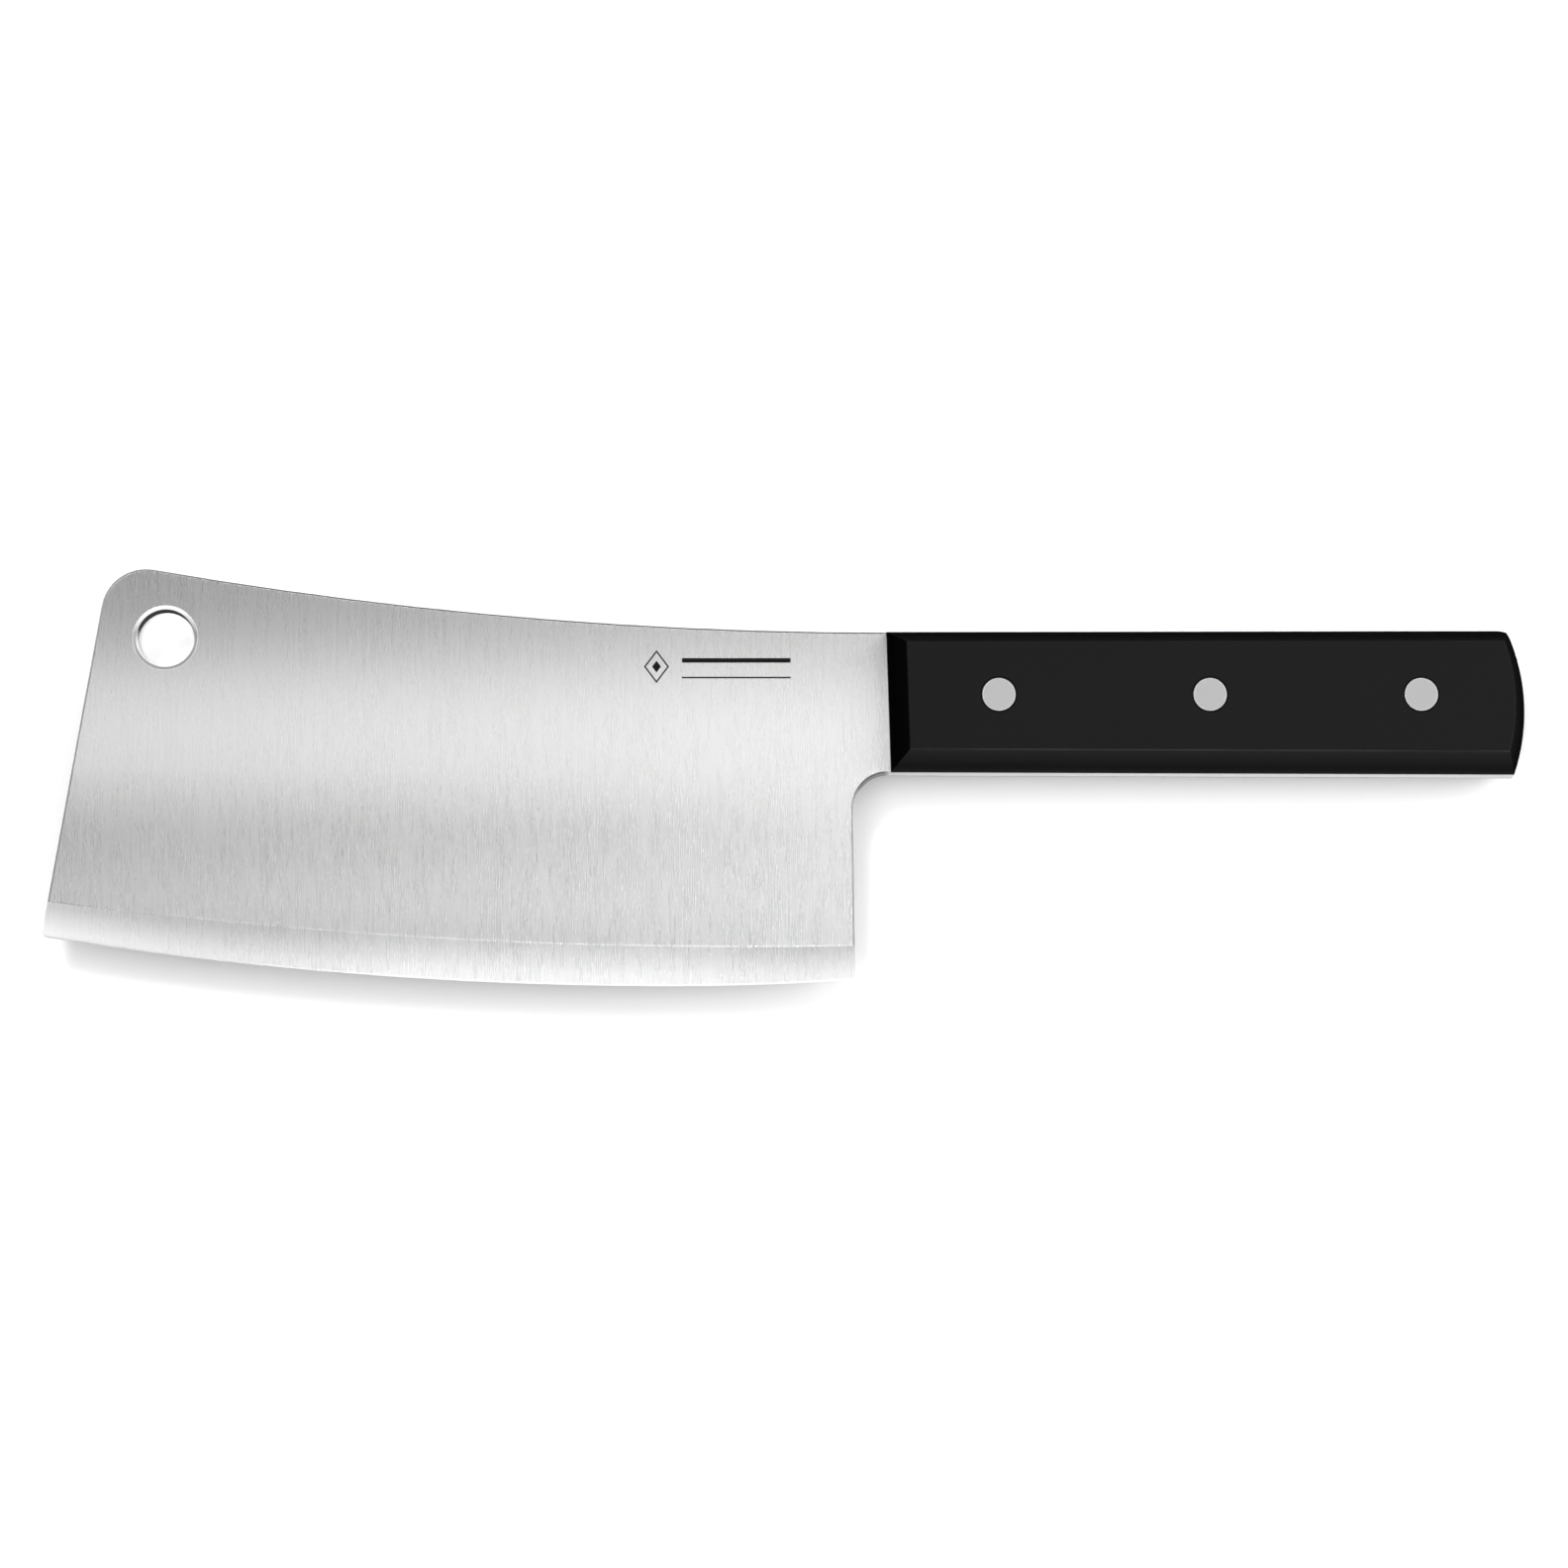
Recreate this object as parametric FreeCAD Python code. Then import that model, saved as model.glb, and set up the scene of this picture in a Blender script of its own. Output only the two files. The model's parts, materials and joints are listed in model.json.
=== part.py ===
import FreeCAD, Part
import math
import os

Vector = FreeCAD.Vector

# A butcher's meat cleaver: one steel blade and full tang, two bevelled handle scales,
# and three two-piece compression rivets that clamp the scales to the tang.
#
# Working frame, in millimetres: X runs along the handle from its front end (0) to the butt,
# so the blade lies at negative X. Y is 0 on the line of rivets, with the spine at positive Y
# and the cutting edge at negative Y. Z is 0 at the middle of the steel's thickness.
# At the end everything moves to the row's frame: lying on the lower scale, with the
# origin at the bottom centre of the whole box.

# --- Steel plate -----------------------------------------------------------------
steel_thickness = 4.0
half_steel = steel_thickness / 2
spine_y = 13.3             # top of the blade where it meets the handle
spine_radius = 810.0       # the spine sweeps up towards the front in one long arc
front_at_axis_x = -152.33  # front edge's X at Y = 0
front_lean = 0.1634        # X gained by the front edge for each millimetre of Y
front_corner_radius = 8.4
toe_radius = 0.9
heel_bottom_x = -6.4
heel_top_x = -6.85
belly_y = -13.6            # lower line of the tang where it meets the blade
heel_fillet_radius = 6.75
edge_break_radius = 0.4    # rounding of the plate's outer edges

# --- Ground cheeks and cutting edge ----------------------------------------------
half_shoulder = 1.62       # half thickness at the lowest point of the wide bevel's upper line
half_edge = 0.08           # half thickness left on the honed edge
half_hone = 0.16           # half thickness where the fine honed bevel ends
hone_width = 0.25
edge_low_x = -41.5         # lowest point of the cutting edge
edge_low_y = -54.0
edge_front_radius = 750.0
edge_rear_radius = 510.0
shoulder_low_x = -27.5     # lowest point of the line where the wide bevel begins
shoulder_low_y = -46.7
shoulder_radius = 1000.0
shoulder_round = 1.2       # radius that softens the line between cheek and bevel

# --- Hanging hole ----------------------------------------------------------------
hang_x = -137.15
hang_y = 12.27
hang_radius = 5.4
hang_chamfer_width = 0.75
hang_chamfer_depth = 0.5

# --- Handle ----------------------------------------------------------------------
handle_length = 120.2
top_flare = 0.2            # each long side opens by this much from front to butt
bottom_flare = 0.45
butt_radius = 38.0
butt_centre_y = -1.5
butt_top_radius = 3.0
scale_thickness = 8.0
scale_wall = 0.3           # upright wall next to the tang, before the bevel
scale_front_top_x = -0.45  # the scale's front end leans a little
scale_front_bottom_x = 0.35
side_bevel = 3.2
front_bevel = 3.6
butt_bevel = 2.5
scale_edge_round = 0.35

# --- Rivets ----------------------------------------------------------------------
rivet_pitch = 39.7
middle_rivet_x = 60.25
head_radius = 3.2
head_depth = 3.0
head_break = 0.15
sleeve_radius = 2.5
post_radius = 1.5
sleeve_end_gap = 1.0       # between the sleeve's end and the post's head
bore_end_gap = 0.5         # between the post's tip and the bottom of the sleeve

half_total = half_steel + scale_thickness
butt_centre_x = handle_length - butt_radius
reach = 70.0               # how far cutters run past the steel


def polygon(points):
    return Part.Face(Part.makePolygon(points + points[:1]))


def arc_of(radius, distance):
    """How far a circle of this radius has turned away from its tangent after a distance."""
    return radius - math.sqrt(radius ** 2 - distance ** 2)


def upright(shape, x, y, within=1.5):
    """The edges of a prism that stand along Z near a place."""
    found = []
    for edge in shape.Edges:
        low, high = edge.BoundBox.ZMin, edge.BoundBox.ZMax
        centre = edge.BoundBox.Center
        if high - low > 1 and abs(centre.x - x) < within and abs(centre.y - y) < within:
            if edge.BoundBox.XLength < 0.1 and edge.BoundBox.YLength < 0.1:
                found.append(edge)
    return found


def toe_point():
    """Where the straight front edge meets the curved cutting edge."""
    y = edge_low_y
    for _ in range(10):
        y = edge_line(front_at_axis_x + front_lean * y)
    return Vector(front_at_axis_x + front_lean * y, y, -half_steel)


def blade_plate():
    """The flat outline of the blade in front of the handle, run past the cutting edge."""
    top = 45.0
    bottom = edge_low_y - 10
    heel_slope = (heel_bottom_x - heel_top_x) / (edge_low_y - belly_y)
    toe = toe_point()
    toe_slope = (edge_line(toe.x + 1) - toe.y)
    outline = [
        Vector(0, top, -half_steel),
        Vector(0, belly_y, -half_steel),
        Vector(heel_top_x, belly_y, -half_steel),
        Vector(heel_top_x + heel_slope * (bottom - belly_y), bottom, -half_steel),
        Vector(toe.x + (bottom - toe.y) / toe_slope, bottom, -half_steel),
        toe,
        Vector(front_at_axis_x + front_lean * top, top, -half_steel),
    ]
    plate = polygon(outline).extrude(Vector(0, 0, steel_thickness))
    plate = plate.makeFillet(heel_fillet_radius, upright(plate, heel_top_x, belly_y))
    plate = plate.makeFillet(toe_radius, upright(plate, toe.x, toe.y))
    above_spine = Part.makeCylinder(
        spine_radius, steel_thickness * 2, Vector(0, spine_y + spine_radius, -steel_thickness)
    )
    plate = plate.cut(above_spine)
    front_top = min(plate.Vertexes, key=lambda v: (v.Point - Vector(-148, 28, 0)).Length).Point
    return plate.makeFillet(front_corner_radius, upright(plate, front_top.x, front_top.y))


def half_thickness(y):
    """Half the steel's thickness below the tang, where the cheeks are gently convex."""
    drop = half_steel - half_shoulder
    run = belly_y - shoulder_low_y
    radius = (run ** 2 + drop ** 2) / (2 * drop)
    return half_steel - arc_of(radius, belly_y - y)


def cheek_body():
    """The thickness of the steel: parallel down to the tang's lower line, then gently convex."""
    x = -170.0

    def side(sign):
        heights = (belly_y, belly_y - 25, belly_y - 50)
        return [Vector(x, y, sign * half_thickness(y)) for y in heights]

    upper, lower = side(1), side(-1)
    top = 50.0
    section = Part.Wire([
        Part.makeLine(Vector(x, top, half_steel), upper[0]),
        Part.Arc(*upper).toShape(),
        Part.makeLine(upper[2], lower[2]),
        Part.Arc(*reversed(lower)).toShape(),
        Part.makeLine(lower[0], Vector(x, top, -half_steel)),
        Part.makeLine(Vector(x, top, -half_steel), Vector(x, top, half_steel)),
    ])
    return Part.Face(section).extrude(Vector(-x, 0, 0))


def edge_line(x):
    radius = edge_front_radius if x < edge_low_x else edge_rear_radius
    return edge_low_y + arc_of(radius, x - edge_low_x)


def shoulder_line(x):
    return shoulder_low_y + arc_of(shoulder_radius, x - shoulder_low_x)


def edge_outline(z, lower):
    """A closed outline at one height whose lower side follows the curve y = lower(x)."""
    front_x, rear_x, top = -175.0, 5.0, 60.0

    def at(x):
        return Vector(x, lower(x), z)

    front_mid = (front_x + edge_low_x) / 2
    rear_mid = (edge_low_x + rear_x) / 2
    return Part.Wire([
        Part.Arc(at(front_x), at(front_mid), at(edge_low_x)).toShape(),
        Part.Arc(at(edge_low_x), at(rear_mid), at(rear_x)).toShape(),
        Part.makeLine(at(rear_x), Vector(rear_x, top, z)),
        Part.makeLine(Vector(rear_x, top, z), Vector(front_x, top, z)),
        Part.makeLine(Vector(front_x, top, z), at(front_x)),
    ])


def edge_body():
    """The wide ground bevel and the fine honed bevel, on both faces of the steel."""
    def hone_line(x):
        return edge_line(x) + hone_width

    past = 2.4

    def past_shoulder(x):
        y = shoulder_line(x)
        share = (past - half_hone) / (half_thickness(y) - half_hone)
        return hone_line(x) + share * (y - hone_line(x))

    edge = edge_outline(half_edge, edge_line)
    hone = edge_outline(half_hone, hone_line)
    outer = edge_outline(past, past_shoulder)
    land = Part.Face(edge_outline(-half_edge, edge_line)).extrude(Vector(0, 0, 2 * half_edge))
    fine = Part.makeLoft([edge, hone], True, True)
    wide = Part.makeLoft([hone, outer], True, True)
    halves = [fine, wide]
    mirrored = [half.mirror(Vector(0, 0, 0), Vector(0, 0, 1)) for half in halves]
    return land.multiFuse(halves + mirrored).removeSplitter()


def outer_edges(shape):
    """The edges around the outline of the plate, on both faces, but not those at X = 0."""
    found = []
    for edge in shape.Edges:
        box = edge.BoundBox
        if min(abs(box.ZMin), abs(box.ZMax)) > 1 and box.XMin < -0.01 and box.YMax > edge_low_y:
            normals = [face for face in shape.ancestorsOfType(edge, Part.Face)
                       if abs(face.normalAt(0, 0).z) < 0.01]
            if normals:
                found.append(edge)
    return found


def shoulder_edges(shape):
    """The long edges between each cheek and its wide bevel."""
    found = []
    for edge in shape.Edges:
        box = edge.BoundBox
        thin = abs(box.Center.z)
        if box.XLength > 20 and 1.3 < thin < 1.9 and box.YMax < shoulder_low_y + 12:
            found.append(edge)
    return found


def handle_outline(front_top_x, front_bottom_x, z):
    """The handle's outline at one height, with its bowed butt and one rounded corner."""
    top_rear_y = spine_y + top_flare
    bottom_rear_y = belly_y - bottom_flare

    def on_butt(y):
        return butt_centre_x + math.sqrt(butt_radius ** 2 - (y - butt_centre_y) ** 2)

    top_rear = Vector(on_butt(top_rear_y), top_rear_y, z)
    bottom_rear = Vector(on_butt(bottom_rear_y), bottom_rear_y, z)
    front_top = Vector(front_top_x, spine_y, z)
    front_bottom = Vector(front_bottom_x, belly_y, z)
    bulge = Vector(handle_length, butt_centre_y, z)
    return Part.Face(Part.Wire([
        Part.makeLine(front_top, top_rear),
        Part.Arc(top_rear, bulge, bottom_rear).toShape(),
        Part.makeLine(bottom_rear, front_bottom),
        Part.makeLine(front_bottom, front_top),
    ]))


def handle_prism(front_top_x, front_bottom_x, low, high):
    prism = handle_outline(front_top_x, front_bottom_x, low).extrude(Vector(0, 0, high - low))
    corner = upright(prism, handle_length - 3, spine_y + top_flare, 3)
    return prism.makeFillet(butt_top_radius, corner)


def rivet_places():
    return {
        "front": middle_rivet_x - rivet_pitch,
        "middle": middle_rivet_x,
        "rear": middle_rivet_x + rivet_pitch,
    }


def make_blade():
    ground = cheek_body().common(edge_body())
    ground = ground.makeFillet(shoulder_round, shoulder_edges(ground))
    blade = blade_plate().common(cheek_body())
    blade = blade.makeFillet(edge_break_radius, outer_edges(blade))
    blade = blade.common(ground)
    tang = handle_prism(0, 0, -half_steel, half_steel)
    steel = blade.fuse(tang)
    hole = Part.makeCylinder(hang_radius, reach, Vector(hang_x, hang_y, -reach / 2))
    steel = steel.cut(hole)
    wide = hang_radius + hang_chamfer_width
    for sign in (1, -1):
        start = Vector(hang_x, hang_y, sign * (half_steel - hang_chamfer_depth))
        mouth = Part.makeCone(
            hang_radius, wide, hang_chamfer_depth, start, Vector(0, 0, sign)
        )
        steel = steel.cut(mouth)
    for x in rivet_places().values():
        steel = steel.cut(Part.makeCylinder(sleeve_radius, reach, Vector(x, 0, -reach / 2)))
    return steel.removeSplitter()


def bevel_section(start, inward, width):
    """An upright section, standing where a scale's side begins, that cuts its bevel away."""
    low = half_steel + scale_wall
    height = half_total - low
    past = 1.25
    outer = start - inward * 10
    return [
        start + Vector(0, 0, low),
        start + inward * (width * past) + Vector(0, 0, low + height * past),
        outer + Vector(0, 0, low + height * past),
        outer + Vector(0, 0, low),
    ]


def straight_bevel(first, last, width):
    """Cuts a flat bevel along the side from first to last, which keeps the handle on its left."""
    along = (last - first).normalize()
    inward = Vector(-along.y, along.x, 0)
    start = first - along * 20
    section = polygon(bevel_section(start, inward, width))
    return section.extrude(along * ((last - first).Length + 40))


def butt_bevel_cutter():
    centre = Vector(butt_centre_x, butt_centre_y, 0)
    start = centre + Vector(butt_radius, 0, 0)
    section = polygon(bevel_section(start, Vector(-1, 0, 0), butt_bevel))
    section.rotate(centre, Vector(0, 0, 1), -45)
    return section.revolve(centre, Vector(0, 0, 1), 90)


def make_upper_scale():
    scale = handle_prism(scale_front_top_x, scale_front_bottom_x, half_steel, half_total)
    rear_x = butt_centre_x + butt_radius
    front_top = Vector(scale_front_top_x, spine_y, 0)
    front_bottom = Vector(scale_front_bottom_x, belly_y, 0)
    rear_top = Vector(rear_x, spine_y + top_flare, 0)
    rear_bottom = Vector(rear_x, belly_y - bottom_flare, 0)
    scale = scale.cut(straight_bevel(rear_top, front_top, side_bevel))
    scale = scale.cut(straight_bevel(front_bottom, rear_bottom, side_bevel))
    scale = scale.cut(straight_bevel(front_top, front_bottom, front_bevel))
    scale = scale.cut(butt_bevel_cutter())
    rim = [edge for edge in scale.Edges
           if edge.BoundBox.ZMin > half_total - 0.01]
    scale = scale.makeFillet(scale_edge_round, rim)
    for x in rivet_places().values():
        shank = Part.makeCylinder(sleeve_radius, reach, Vector(x, 0, -reach / 2))
        seat = Part.makeCylinder(head_radius, reach, Vector(x, 0, half_total - head_depth))
        scale = scale.cut(shank).cut(seat)
    return scale


def rivet_head(x):
    """A flat head sunk in the upper scale, with its outer rim just broken."""
    seat_z = half_total - head_depth
    head = Part.makeCylinder(head_radius, head_depth, Vector(x, 0, seat_z))
    rim = [edge for edge in head.Edges if edge.BoundBox.ZMin > half_total - 0.01]
    return head.makeChamfer(head_break, rim)


def make_post(x):
    """The male half: a head in the upper scale and a solid pin down into the sleeve."""
    seat_z = half_total - head_depth
    tip_z = -seat_z + bore_end_gap
    pin = Part.makeCylinder(post_radius, seat_z - tip_z, Vector(x, 0, tip_z))
    return rivet_head(x).fuse(pin)


def make_sleeve(x):
    """The female half: a head in the lower scale and a tube through scales and tang."""
    seat_z = half_total - head_depth
    mirror = rivet_head(x).mirror(Vector(0, 0, 0), Vector(0, 0, 1))
    length = 2 * seat_z - sleeve_end_gap
    tube = Part.makeCylinder(sleeve_radius, length, Vector(x, 0, -seat_z))
    bore = Part.makeCylinder(post_radius, length, Vector(x, 0, -seat_z))
    return mirror.fuse(tube.cut(bore))


def all_parts():
    upper_scale = make_upper_scale()
    parts = {
        "blade_and_tang": make_blade(),
        "upper_scale": upper_scale,
        "lower_scale": upper_scale.mirror(Vector(0, 0, 0), Vector(0, 0, 1)),
    }
    for name, x in rivet_places().items():
        parts[name + "_rivet_post"] = make_post(x)
        parts[name + "_rivet_sleeve"] = make_sleeve(x)
    return parts


os.makedirs("parts", exist_ok=True)
parts = all_parts()
whole = Part.makeCompound(list(parts.values())).optimalBoundingBox()
to_row = Vector(-whole.Center.x, -whole.Center.y, -whole.ZMin)
for name, shape in parts.items():
    shape.translate(to_row)
    solids = shape.Solids
    print(name, len(solids), "solid", shape.isValid(), round(shape.Volume, 1), "mm3")
    solids[0].exportStep("parts/" + name + ".step")
print("moved by", to_row)
print("size", whole.XLength, whole.YLength, whole.ZLength)
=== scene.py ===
import json
import math

import bpy
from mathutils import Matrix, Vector


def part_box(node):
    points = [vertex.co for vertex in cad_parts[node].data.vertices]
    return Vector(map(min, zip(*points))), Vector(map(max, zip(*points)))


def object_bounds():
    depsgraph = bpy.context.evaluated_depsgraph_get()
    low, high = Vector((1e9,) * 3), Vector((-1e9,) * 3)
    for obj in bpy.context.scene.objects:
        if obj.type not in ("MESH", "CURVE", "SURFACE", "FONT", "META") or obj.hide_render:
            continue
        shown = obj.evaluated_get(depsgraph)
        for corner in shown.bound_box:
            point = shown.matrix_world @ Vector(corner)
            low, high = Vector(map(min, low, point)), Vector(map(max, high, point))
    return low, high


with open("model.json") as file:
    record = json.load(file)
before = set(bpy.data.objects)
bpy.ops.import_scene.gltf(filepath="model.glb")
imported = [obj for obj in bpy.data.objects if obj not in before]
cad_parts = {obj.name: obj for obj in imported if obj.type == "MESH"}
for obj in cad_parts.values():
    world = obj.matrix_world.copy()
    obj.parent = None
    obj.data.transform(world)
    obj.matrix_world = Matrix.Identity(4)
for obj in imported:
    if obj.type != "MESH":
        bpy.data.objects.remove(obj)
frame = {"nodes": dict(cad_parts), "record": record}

cad_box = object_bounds()
low, high = Vector(cad_box[0]), Vector(cad_box[1])

MM = 0.001

# --- Where things are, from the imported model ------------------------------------
scale_front_lean = 0.45 * MM
blade_end_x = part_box("upper_scale")[0].x + scale_front_lean
rivet_low, rivet_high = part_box("middle_rivet_post")
rear_low, rear_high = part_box("rear_rivet_post")
middle_rivet_x = (rivet_low.x + rivet_high.x) / 2
rivet_pitch = (rear_low.x + rear_high.x) / 2 - middle_rivet_x
rivet_axis_y = (rivet_low.y + rivet_high.y) / 2
mid_z = (low.z + high.z) / 2
mounts = {mount["name"]: mount for mount in frame["record"]["mounts"]}
hole = Vector(mounts["hanging_hole"]["pos_m"])


# --- Node helpers ----------------------------------------------------------------
class Graph:
    """A material's node tree, with short calls for the nodes that are used here."""

    def __init__(self, name):
        self.material = bpy.data.materials.new(name)
        self.material.use_nodes = True
        self.tree = self.material.node_tree
        self.shader = self.tree.nodes["Principled BSDF"]
        coordinates = self.tree.nodes.new("ShaderNodeTexCoord")
        self.position = coordinates.outputs["Object"]
        self.x, self.y, self.z = self.split(coordinates.outputs["Object"])
        self.facing_x, self.facing_y, self.facing_z = self.split(coordinates.outputs["Normal"])

    def split(self, vector):
        node = self.tree.nodes.new("ShaderNodeSeparateXYZ")
        self.tree.links.new(vector, node.inputs[0])
        return node.outputs

    def link(self, source, target):
        if isinstance(source, (int, float, tuple)):
            target.default_value = source
        else:
            self.tree.links.new(source, target)

    def math(self, operation, *values):
        node = self.tree.nodes.new("ShaderNodeMath")
        node.operation = operation
        for value, socket in zip(values, node.inputs):
            self.link(value, socket)
        return node.outputs[0]

    def chain(self, operation, first, *others):
        total = first
        for other in others:
            total = self.math(operation, total, other)
        return total

    def product(self, *values):
        return self.chain("MULTIPLY", *values)

    def largest(self, *values):
        return self.chain("MAXIMUM", *values)

    def rest_of(self, share):
        """What is left of 1 when a share is taken away."""
        return self.math("SUBTRACT", 1.0, share)

    def away(self, value, centre):
        """How far a value is from a centre."""
        return self.math("ABSOLUTE", self.math("SUBTRACT", value, centre))

    def weighted(self, *pairs):
        """The sum of each value times its weight."""
        total = 0.0
        for value, weight in pairs:
            total = self.math("MULTIPLY_ADD", value, weight, total)
        return total

    def along(self, x, y, z):
        """A fixed direction in the piece."""
        node = self.tree.nodes.new("ShaderNodeCombineXYZ")
        for value, socket in zip((x, y, z), node.inputs):
            socket.default_value = value
        return node.outputs[0]

    def stretched(self, x, y, z):
        """The position in the piece, multiplied along each axis."""
        node = self.tree.nodes.new("ShaderNodeVectorMath")
        node.operation = "MULTIPLY"
        self.link(self.position, node.inputs[0])
        node.inputs[1].default_value = (x, y, z)
        return node.outputs[0]

    def noise(self, vector, scale=1.0, detail=2.0, roughness=0.5):
        """A value around 0.5 that varies over the surface."""
        node = self.tree.nodes.new("ShaderNodeTexNoise")
        self.link(vector, node.inputs["Vector"])
        node.inputs["Scale"].default_value = scale
        node.inputs["Detail"].default_value = detail
        node.inputs["Roughness"].default_value = roughness
        return node.outputs["Fac"]

    def between(self, value, from_low, from_high, to_low=0.0, to_high=1.0):
        """The value moved from one range to another, and held inside the second."""
        node = self.tree.nodes.new("ShaderNodeMapRange")
        numbers = (value, from_low, from_high, to_low, to_high)
        for number, socket in zip(numbers, node.inputs):
            self.link(number, socket)
        return node.outputs[0]

    def within(self, value, limit, soft):
        """1 where the value is under the limit, 0 past it, with a soft step."""
        return self.between(value, limit + soft / 2, limit - soft / 2)

    def mix(self, share, first, second):
        node = self.tree.nodes.new("ShaderNodeMix")
        node.data_type = "RGBA"
        self.link(share, node.inputs["Factor"])
        colours = [s for s in node.inputs if s.type == "RGBA"]
        self.link(first, colours[0])
        self.link(second, colours[1])
        return [s for s in node.outputs if s.type == "RGBA"][0]

    def dim(self, colour, factor):
        """A colour times a number."""
        node = self.tree.nodes.new("ShaderNodeVectorMath")
        node.operation = "SCALE"
        self.link(colour, node.inputs[0])
        self.link(factor, node.inputs["Scale"])
        return node.outputs[0]

    def bump(self, height, strength, distance):
        node = self.tree.nodes.new("ShaderNodeBump")
        self.link(height, node.inputs["Height"])
        node.inputs["Strength"].default_value = strength
        node.inputs["Distance"].default_value = distance
        return node.outputs[0]

    def finish(self, colour, roughness, normal, **constants):
        """Link the three that vary over the surface, and set the rest on their sockets."""
        self.link(colour, self.shader.inputs["Base Color"])
        self.link(roughness, self.shader.inputs["Roughness"])
        self.link(normal, self.shader.inputs["Normal"])
        for name, value in constants.items():
            self.shader.inputs[name.replace("_", " ")].default_value = value
        return self.material


def grey(value):
    return (value, value, value, 1.0)


def radius(g, x, y):
    return g.math("SQRT", g.math("ADD", g.product(x, x), g.product(y, y)))


def from_hole(g, shift_y=0.0):
    """How far a point is from the hanging hole's axis, or from that axis moved along Y."""
    return radius(g, g.math("SUBTRACT", g.x, hole.x), g.math("SUBTRACT", g.y, hole.y + shift_y))


def from_rivet(g):
    """How far a point is from the axis of the rivet nearest to it."""
    x = g.math("WRAP", g.math("SUBTRACT", g.x, middle_rivet_x), rivet_pitch / 2, -rivet_pitch / 2)
    return radius(g, x, g.math("SUBTRACT", g.y, rivet_axis_y))


# --- Materials -------------------------------------------------------------------
def etched_mark(g):
    """A plain mark near the handle on the upper cheek: a lozenge and two thin rules."""
    # X is measured from the blade's rear end, and Y from the line of the rivets.
    x = g.math("SUBTRACT", g.x, blade_end_x)
    y = g.math("SUBTRACT", g.y, rivet_axis_y)
    lozenge_x, lozenge_y = -44.0 * MM, 6.7 * MM
    half_width, half_height = 2.4 * MM, 3.2 * MM
    rules_x, half_length = -28.9 * MM, 10.3 * MM
    thick_rule = (7.9 * MM, 0.45 * MM)
    thin_rule = (4.6 * MM, 0.16 * MM)
    soft = 0.08 * MM

    # Outward is 0 at the lozenge's centre and 1 on its outer border.
    across = g.math("DIVIDE", g.away(x, lozenge_x), half_width)
    up = g.math("DIVIDE", g.away(y, lozenge_y), half_height)
    outward = g.math("ADD", across, up)
    outline = g.within(g.away(outward, 0.92), 0.08, 0.05)
    core = g.within(outward, 0.36, 0.05)
    mark = g.largest(outline, core)

    length = g.within(g.away(x, rules_x), half_length, soft)
    for rule_y, half_thick in (thick_rule, thin_rule):
        rule = g.within(g.away(y, rule_y), half_thick, soft)
        mark = g.largest(mark, g.product(rule, length))
    upper = g.math("GREATER_THAN", g.z, mid_z)
    return g.product(mark, upper)


def painted_bevel_light(g, height, slope, flatness):
    """Painted light on the wide bevel: brighter towards the cutting edge, and duller towards the
    toe.
    """
    shoulder_height, shoulder_level = 1.50 * MM, 0.77
    edge_height, edge_level = 0.35 * MM, 1.13
    toe_x, toe_level = -132 * MM, 0.66
    full_x = -70 * MM
    bevel = g.product(g.between(slope, 0.10, 0.16), g.within(flatness, 0.995, 0.004))
    bevel = g.product(bevel, g.between(flatness, 0.85, 0.90))
    near_edge = g.between(height, shoulder_height, edge_height, shoulder_level, edge_level)
    near_edge = g.product(near_edge, g.between(g.x, toe_x, full_x, toe_level, 1.0))
    return g.math("ADD", 1.0, g.product(bevel, g.math("SUBTRACT", near_edge, 1.0)))


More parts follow.
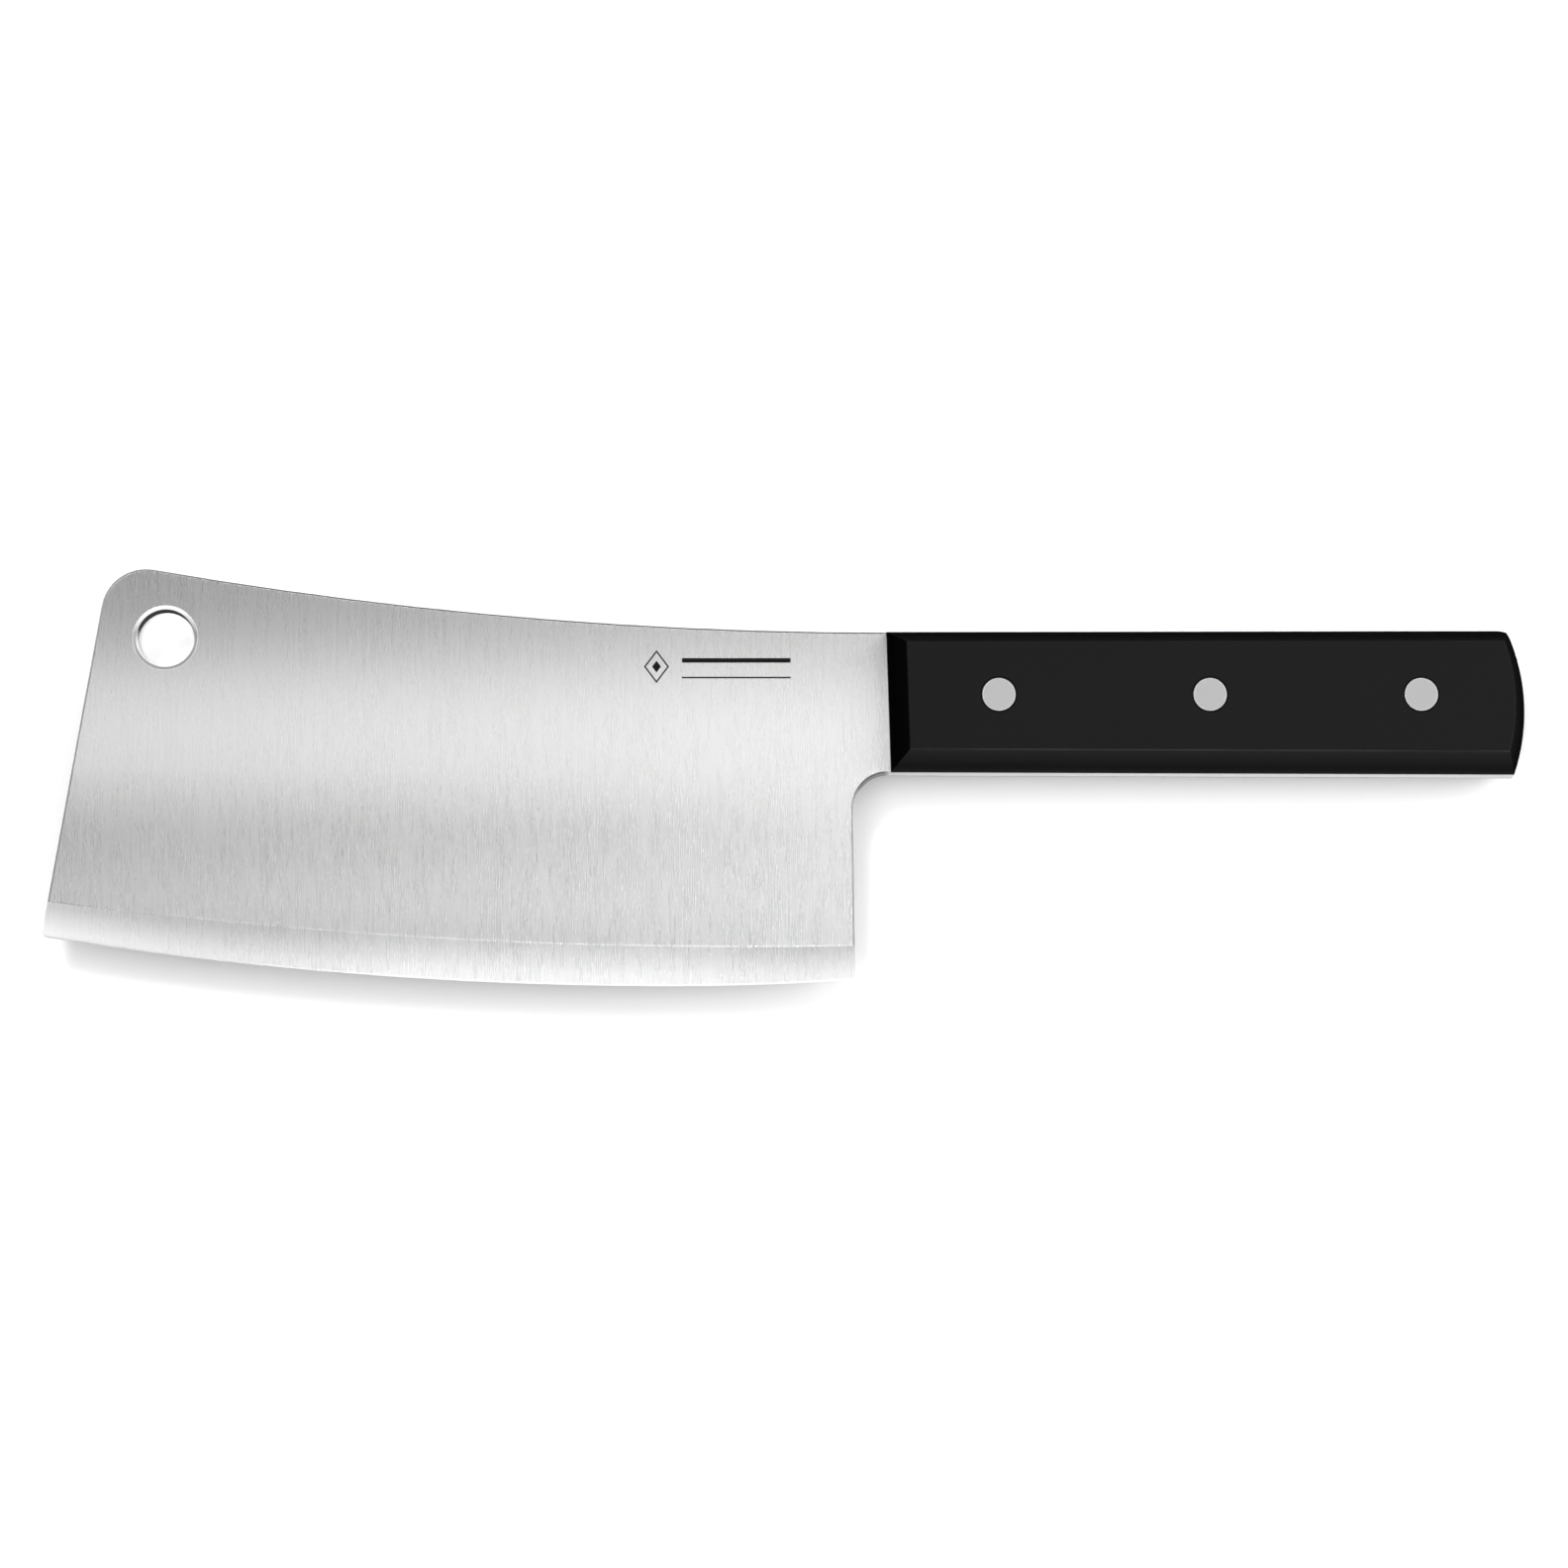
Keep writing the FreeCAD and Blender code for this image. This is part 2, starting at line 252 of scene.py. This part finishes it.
def blade_steel():
    """Satin steel: fine grinding lines run from spine to edge."""
    g = Graph("satin_blade_steel")
    fine = g.noise(g.stretched(5200, 150, 400))
    lines = g.noise(g.stretched(2300, 50, 150))
    broad = g.noise(g.stretched(160, 9, 12))
    tone = g.weighted((fine, 0.50), (lines, 0.40), (broad, 0.10))
    ground = g.between(tone, 0.36, 0.64)

    height = g.away(g.z, mid_z)
    slope = g.product(g.facing_y, -1.0)
    flatness = g.math("ABSOLUTE", g.facing_z)
    painted_light = painted_bevel_light(g, height, slope, flatness)
    # Painted light: the line of the shoulder gets a painted highlight, and the rounded outer
    # edges are painted darker.
    shoulder_slope, shoulder_level = 0.11, 1.3
    round_painted_shade = 0.4
    on_shoulder = g.within(g.away(slope, shoulder_slope), 0.05, 0.02)
    shoulder_highlight = g.product(on_shoulder, g.between(flatness, 0.97, 0.98))
    painted_light = g.product(painted_light, g.between(shoulder_highlight, 0, 1, 1.0, shoulder_level))
    outward = g.largest(g.facing_y, g.math("ABSOLUTE", g.facing_x))
    rounded = g.product(g.between(outward, 0.03, 0.12), g.between(outward, 0.98, 0.80))
    painted_light = g.product(painted_light, g.between(rounded, 0, 1, 1.0, round_painted_shade))

    # Painted shade and light: the hole's wall is painted dark towards the spine, and its chamfer
    # gets a painted highlight there.
    hole_distance = from_hole(g)
    in_hole = g.within(hole_distance, 5.55 * MM, 0.1 * MM)
    hole_rim = g.within(hole_distance, 6.2 * MM, 0.1 * MM)
    rim_painted_highlight = g.product(hole_rim, g.between(g.y, hole.y + 1.0 * MM, hole.y + 5.0 * MM))
    upper_wall = g.between(g.y, hole.y - 1.0 * MM, hole.y + 2.0 * MM)
    wall_painted_shade = g.mix(upper_wall, grey(0.8), grey(0.05))

    mark = etched_mark(g)
    colour = g.dim(g.mix(ground, grey(0.608), grey(0.642)), painted_light)
    colour = g.mix(rim_painted_highlight, colour, grey(0.85))
    colour = g.mix(in_hole, colour, wall_painted_shade)
    colour = g.mix(mark, colour, grey(0.012))

    # The honed edge, the hole's rim and the upright faces are frosted, which isn't metallic.
    hone_height = 0.17 * MM
    added_roughness = 0.35
    roughness = g.between(tone, 0.35, 0.65, 0.270, 0.280)
    honed = g.within(height, hone_height, 0.02 * MM)
    frosted = g.largest(honed, g.product(hole_rim, 0.8))
    frosted = g.largest(frosted, g.between(flatness, 0.6, 0.2))
    rough_share = g.largest(g.largest(frosted, mark), g.product(rounded, 0.6))
    roughness = g.math("ADD", roughness, g.product(rough_share, added_roughness))
    g.link(g.rest_of(frosted), g.shader.inputs["Metallic"])
    g.link(g.along(1, 0, 0), g.shader.inputs["Tangent"])
    scratches = g.bump(fine, 0.002, 0.02 * MM)
    return g.finish(colour, roughness, scratches, Anisotropic=0.95)


def scale_plastic():
    """Matt black moulded plastic with a fine grain, and a painted highlight along its edges."""
    g = Graph("matt_black_plastic")
    grain = g.noise(g.position, scale=2600, detail=3, roughness=0.6)
    patches = g.noise(g.position, scale=45)
    flatness = g.math("ABSOLUTE", g.facing_z)
    flat = g.between(flatness, 0.55, 0.95)
    height = g.away(g.z, mid_z)
    lower = g.between(g.facing_y, -0.3, -0.7)
    front = g.between(g.facing_x, -0.3, -0.7)

    # Painted light and shade: the bevels are painted lighter beside the tang and beside the flat
    # top than between, and the upper and front bevels are painted darker.
    by_the_top = g.between(height, 3.0 * MM, 9.5 * MM, 0.0050, 0.0150)
    by_the_tang = g.between(height, 2.1 * MM, 3.6 * MM, 0.016, 0.007)
    painted_bevel_shade = g.largest(by_the_top, by_the_tang)
    painted_bevel_shade = g.product(painted_bevel_shade, g.between(lower, 0, 1, 0.45, 1.0))
    painted_bevel_shade = g.product(painted_bevel_shade, g.between(front, 0, 1, 1.0, 0.25))
    flat_shade = 0.0073
    shade = g.math("ADD", g.product(flat, flat_shade), g.product(g.rest_of(flat), painted_bevel_shade))

    # A painted highlight lies on the round between a bevel and the flat top, broken into patches,
    # most on the long side below.
    edge_highlight_level = 0.025
    edge_highlight = g.within(g.away(flatness, 0.74), 0.17, 0.1)
    edge_highlight = g.product(edge_highlight, g.between(patches, 0.4, 0.6, 0.4, 1))
    edge_highlight = g.product(edge_highlight, g.between(g.facing_y, -0.1, -0.4, 0.1, 1.0))
    shade = g.math("ADD", shade, g.product(edge_highlight, edge_highlight_level))
    shade = g.product(shade, g.between(grain, 0.3, 0.7, 0.9, 1.1))

    # A dark ring of shade surrounds each rivet head.
    ring_radius, ring_depth = 3.45 * MM, 0.8
    ring = g.within(from_rivet(g), ring_radius, 0.2 * MM)
    shade = g.product(shade, g.rest_of(g.product(ring, ring_depth)))
    colour = g.dim(grey(1.0)[:3], shade)
    roughness = g.between(patches, 0.3, 0.7, 0.33, 0.38)
    moulded = g.bump(grain, 0.2, 0.03 * MM)
    # The front end has no sheen, and the rest has very little.
    sheen = 0.035
    g.link(g.between(front, 0, 1, sheen, 0.0), g.shader.inputs["Specular IOR Level"])
    return g.finish(colour, roughness, moulded)


def rivet_steel():
    """Rivet heads ground flush with the plastic: a dull face and a painted highlight on the rim.
    """
    g = Graph("satin_rivet_steel")
    grain = g.noise(g.stretched(1500, 6000, 1500), detail=3)
    face_radius, rim_radius = 2.9 * MM, 3.02 * MM
    # The lighter rim is a painted highlight.
    rim_highlight = g.between(from_rivet(g), face_radius, rim_radius)
    face = g.mix(grain, grey(0.31), grey(0.37))
    colour = g.mix(rim_highlight, face, grey(0.52))
    roughness = g.between(grain, 0.3, 0.7, 0.60, 0.68)
    return g.finish(colour, roughness, g.bump(grain, 0.05, 0.02 * MM), Metallic=1.0)


def paint(node, material):
    data = frame["nodes"][node].data
    data.materials.clear()
    data.materials.append(material)


finishes = {"blade": blade_steel(), "scale": scale_plastic(), "rivet": rivet_steel()}
for name in frame["nodes"]:
    kind = next(kind for kind in finishes if kind in name)
    paint(name, finishes[kind])


# --- Floor -----------------------------------------------------------------------
def make_floor():
    half = 6.0
    corners = [(-half, -half, 0), (half, -half, 0), (half, half, 0), (-half, half, 0)]
    mesh = bpy.data.meshes.new("floor")
    mesh.from_pydata(corners, [], [(0, 1, 2, 3)])
    floor = bpy.data.objects.new("floor", mesh)
    bpy.context.scene.collection.objects.link(floor)
    g = Graph("white_floor")
    white = g.mix(g.noise(g.position, scale=30), grey(0.96), grey(0.97))
    g.link(white, g.shader.inputs["Base Color"])
    g.shader.inputs["Roughness"].default_value = 0.9
    # A bright patch under the hanging hole stands for the light that falls through it.
    patch_shift_y = 1.6 * MM
    patch_glow = 0.6
    g.shader.inputs["Emission Color"].default_value = grey(1.0)
    patch = g.between(from_hole(g, patch_shift_y), 6.6 * MM, 5.4 * MM, 0.0, patch_glow)
    g.link(patch, g.shader.inputs["Emission Strength"])
    mesh.materials.append(g.material)
    floor.visible_glossy = False


make_floor()


# --- Lights ----------------------------------------------------------------------
def area_light(name, place, target, size, watts):
    data = bpy.data.lights.new(name, "AREA")
    data.shape = "RECTANGLE"
    data.size, data.size_y = size
    data.energy = watts
    light = bpy.data.objects.new(name, data)
    light.location = place
    light.rotation_euler = (Vector(target) - Vector(place)).to_track_quat("-Z", "Y").to_euler()
    light.visible_camera = False
    bpy.context.scene.collection.objects.link(light)


def light_strips():
    """Narrow strips close above the blade make the level bands of light on the cheek."""
    height = 0.30
    spacing = 0.019
    size = (0.30, 0.020)
    sides = {"left": -0.14, "right": 0.16}
    watts = {"left": (0, 0, 0.022, 0.018, 0, 0.013), "right": (0.029, 0, 0.026, 0.019, 0.012, 0)}
    first_y = 0.1044
    for side, x in sides.items():
        for row, power in enumerate(watts[side]):
            if power:
                y = first_y - spacing * row
                area_light(f"strip_{row}_{side}", (x, y, mid_z + height), (x, y, 0), size, power)


light_strips()
middle = (0, 0, 0)
area_light("key", (-0.396, 0.566, 0.991), middle, (0.45, 0.35), 8.25)
area_light("overhead", (0.30, -0.105, 1.2), (0.09, 0, 0), (0.6, 0.07), 2.22)
area_light("overhead_left", (-0.30, -0.169, 1.2), (-0.09, 0, 0), (0.6, 0.07), 0.22)
area_light("front", (0.0, -0.526, 1.089), middle, (0.6, 0.22), 0.20)
area_light("front_left", (-0.367, -0.536, 1.019), middle, (0.5, 0.3), 2.63)
area_light("right", (1.1, 0.0, 0.75), middle, (1.2, 1.2), 15.6)


def soft_surround(glow_strength):
    """A white backdrop, and a soft glow on all sides that fades towards the zenith."""
    world = bpy.data.worlds.new("soft_white")
    world.use_nodes = True
    nodes, links = world.node_tree.nodes, world.node_tree.links
    background = nodes["Background"]
    background.inputs["Color"].default_value = grey(1.0)

    def ramp(value, *numbers):
        node = nodes.new("ShaderNodeMapRange")
        links.new(value, node.inputs["Value"])
        for number, socket in zip(numbers, node.inputs[1:5]):
            socket.default_value = number
        return node.outputs[0]

    def combine(operation, first, second):
        node = nodes.new("ShaderNodeMath")
        node.operation = operation
        links.new(first, node.inputs[0])
        links.new(second, node.inputs[1])
        return node.outputs[0]

    height = nodes.new("ShaderNodeSeparateXYZ")
    links.new(nodes.new("ShaderNodeTexCoord").outputs["Generated"], height.inputs[0])
    fade_low, fade_high = 0.55, 0.95
    glow = ramp(height.outputs["Z"], fade_low, fade_high, glow_strength, 0.0)
    glow = combine("MULTIPLY", glow, ramp(height.outputs["Z"], -0.02, 0.02, 0.0, 1.0))
    seen = nodes.new("ShaderNodeLightPath").outputs["Is Camera Ray"]
    links.new(combine("MAXIMUM", glow, seen), background.inputs["Strength"])
    bpy.context.scene.world = world


soft_surround(glow_strength=0.8)


# --- Camera ----------------------------------------------------------------------
elevation = math.radians(81)
focal_mm = 140.0
camera_distance = 1.1535
left_of_handle, below_rivets = 19.85 * MM, 15.49 * MM
look_at = Vector((blade_end_x - left_of_handle, rivet_axis_y - below_rivets, mid_z))
towards_camera = Vector((0, -math.cos(elevation), math.sin(elevation)))
camera_data = bpy.data.cameras.new("camera")
camera_data.lens = focal_mm
camera_data.sensor_width = 36.0
camera_data.clip_start = 0.05
camera = bpy.data.objects.new("camera", camera_data)
camera.location = look_at + towards_camera * camera_distance
camera.rotation_euler = (-towards_camera).to_track_quat("-Z", "Y").to_euler()
bpy.context.scene.collection.objects.link(camera)
bpy.context.scene.camera = camera

bpy.context.scene.view_settings.view_transform = "Standard"
